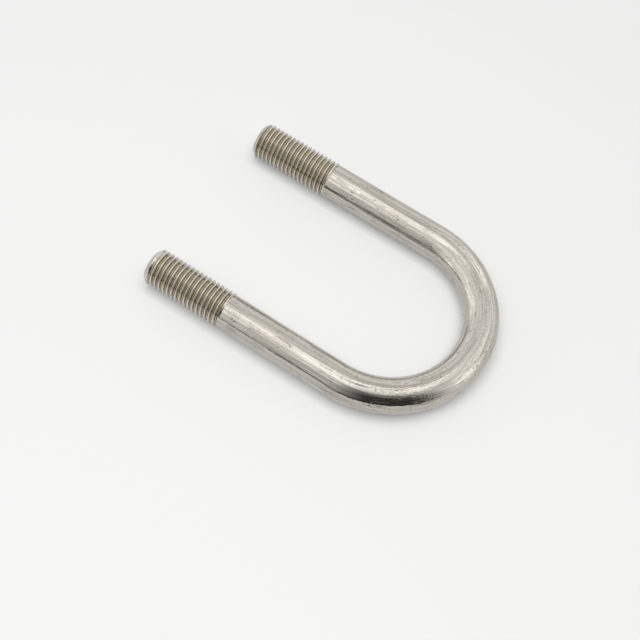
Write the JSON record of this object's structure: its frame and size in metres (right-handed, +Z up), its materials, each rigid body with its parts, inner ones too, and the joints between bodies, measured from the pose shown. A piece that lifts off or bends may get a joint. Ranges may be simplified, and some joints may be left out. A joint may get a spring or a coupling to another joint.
{
  "type": "u-bolt",
  "caption": "Round steel bar bent into a U with a thread on each leg end, for clamping a pipe or post against a plate or beam.",
  "frame": {"origin": "centre of the bounding box's underside, on the surface that the bolt lies on", "axes": "+Z up from that surface, +Y along both legs from the crown of the bend to the threaded ends, X across the legs"},
  "size_m": [0.0924, 0.1323, 0.0157],
  "materials": {
    "stainless_steel": "bare drawn stainless steel, semi-bright, with fine lengthwise draw lines and rolled threads"
  },
  "bodies": {
    "root": {"threaded_rod": "stainless_steel"}
  },
  "joints": []
}
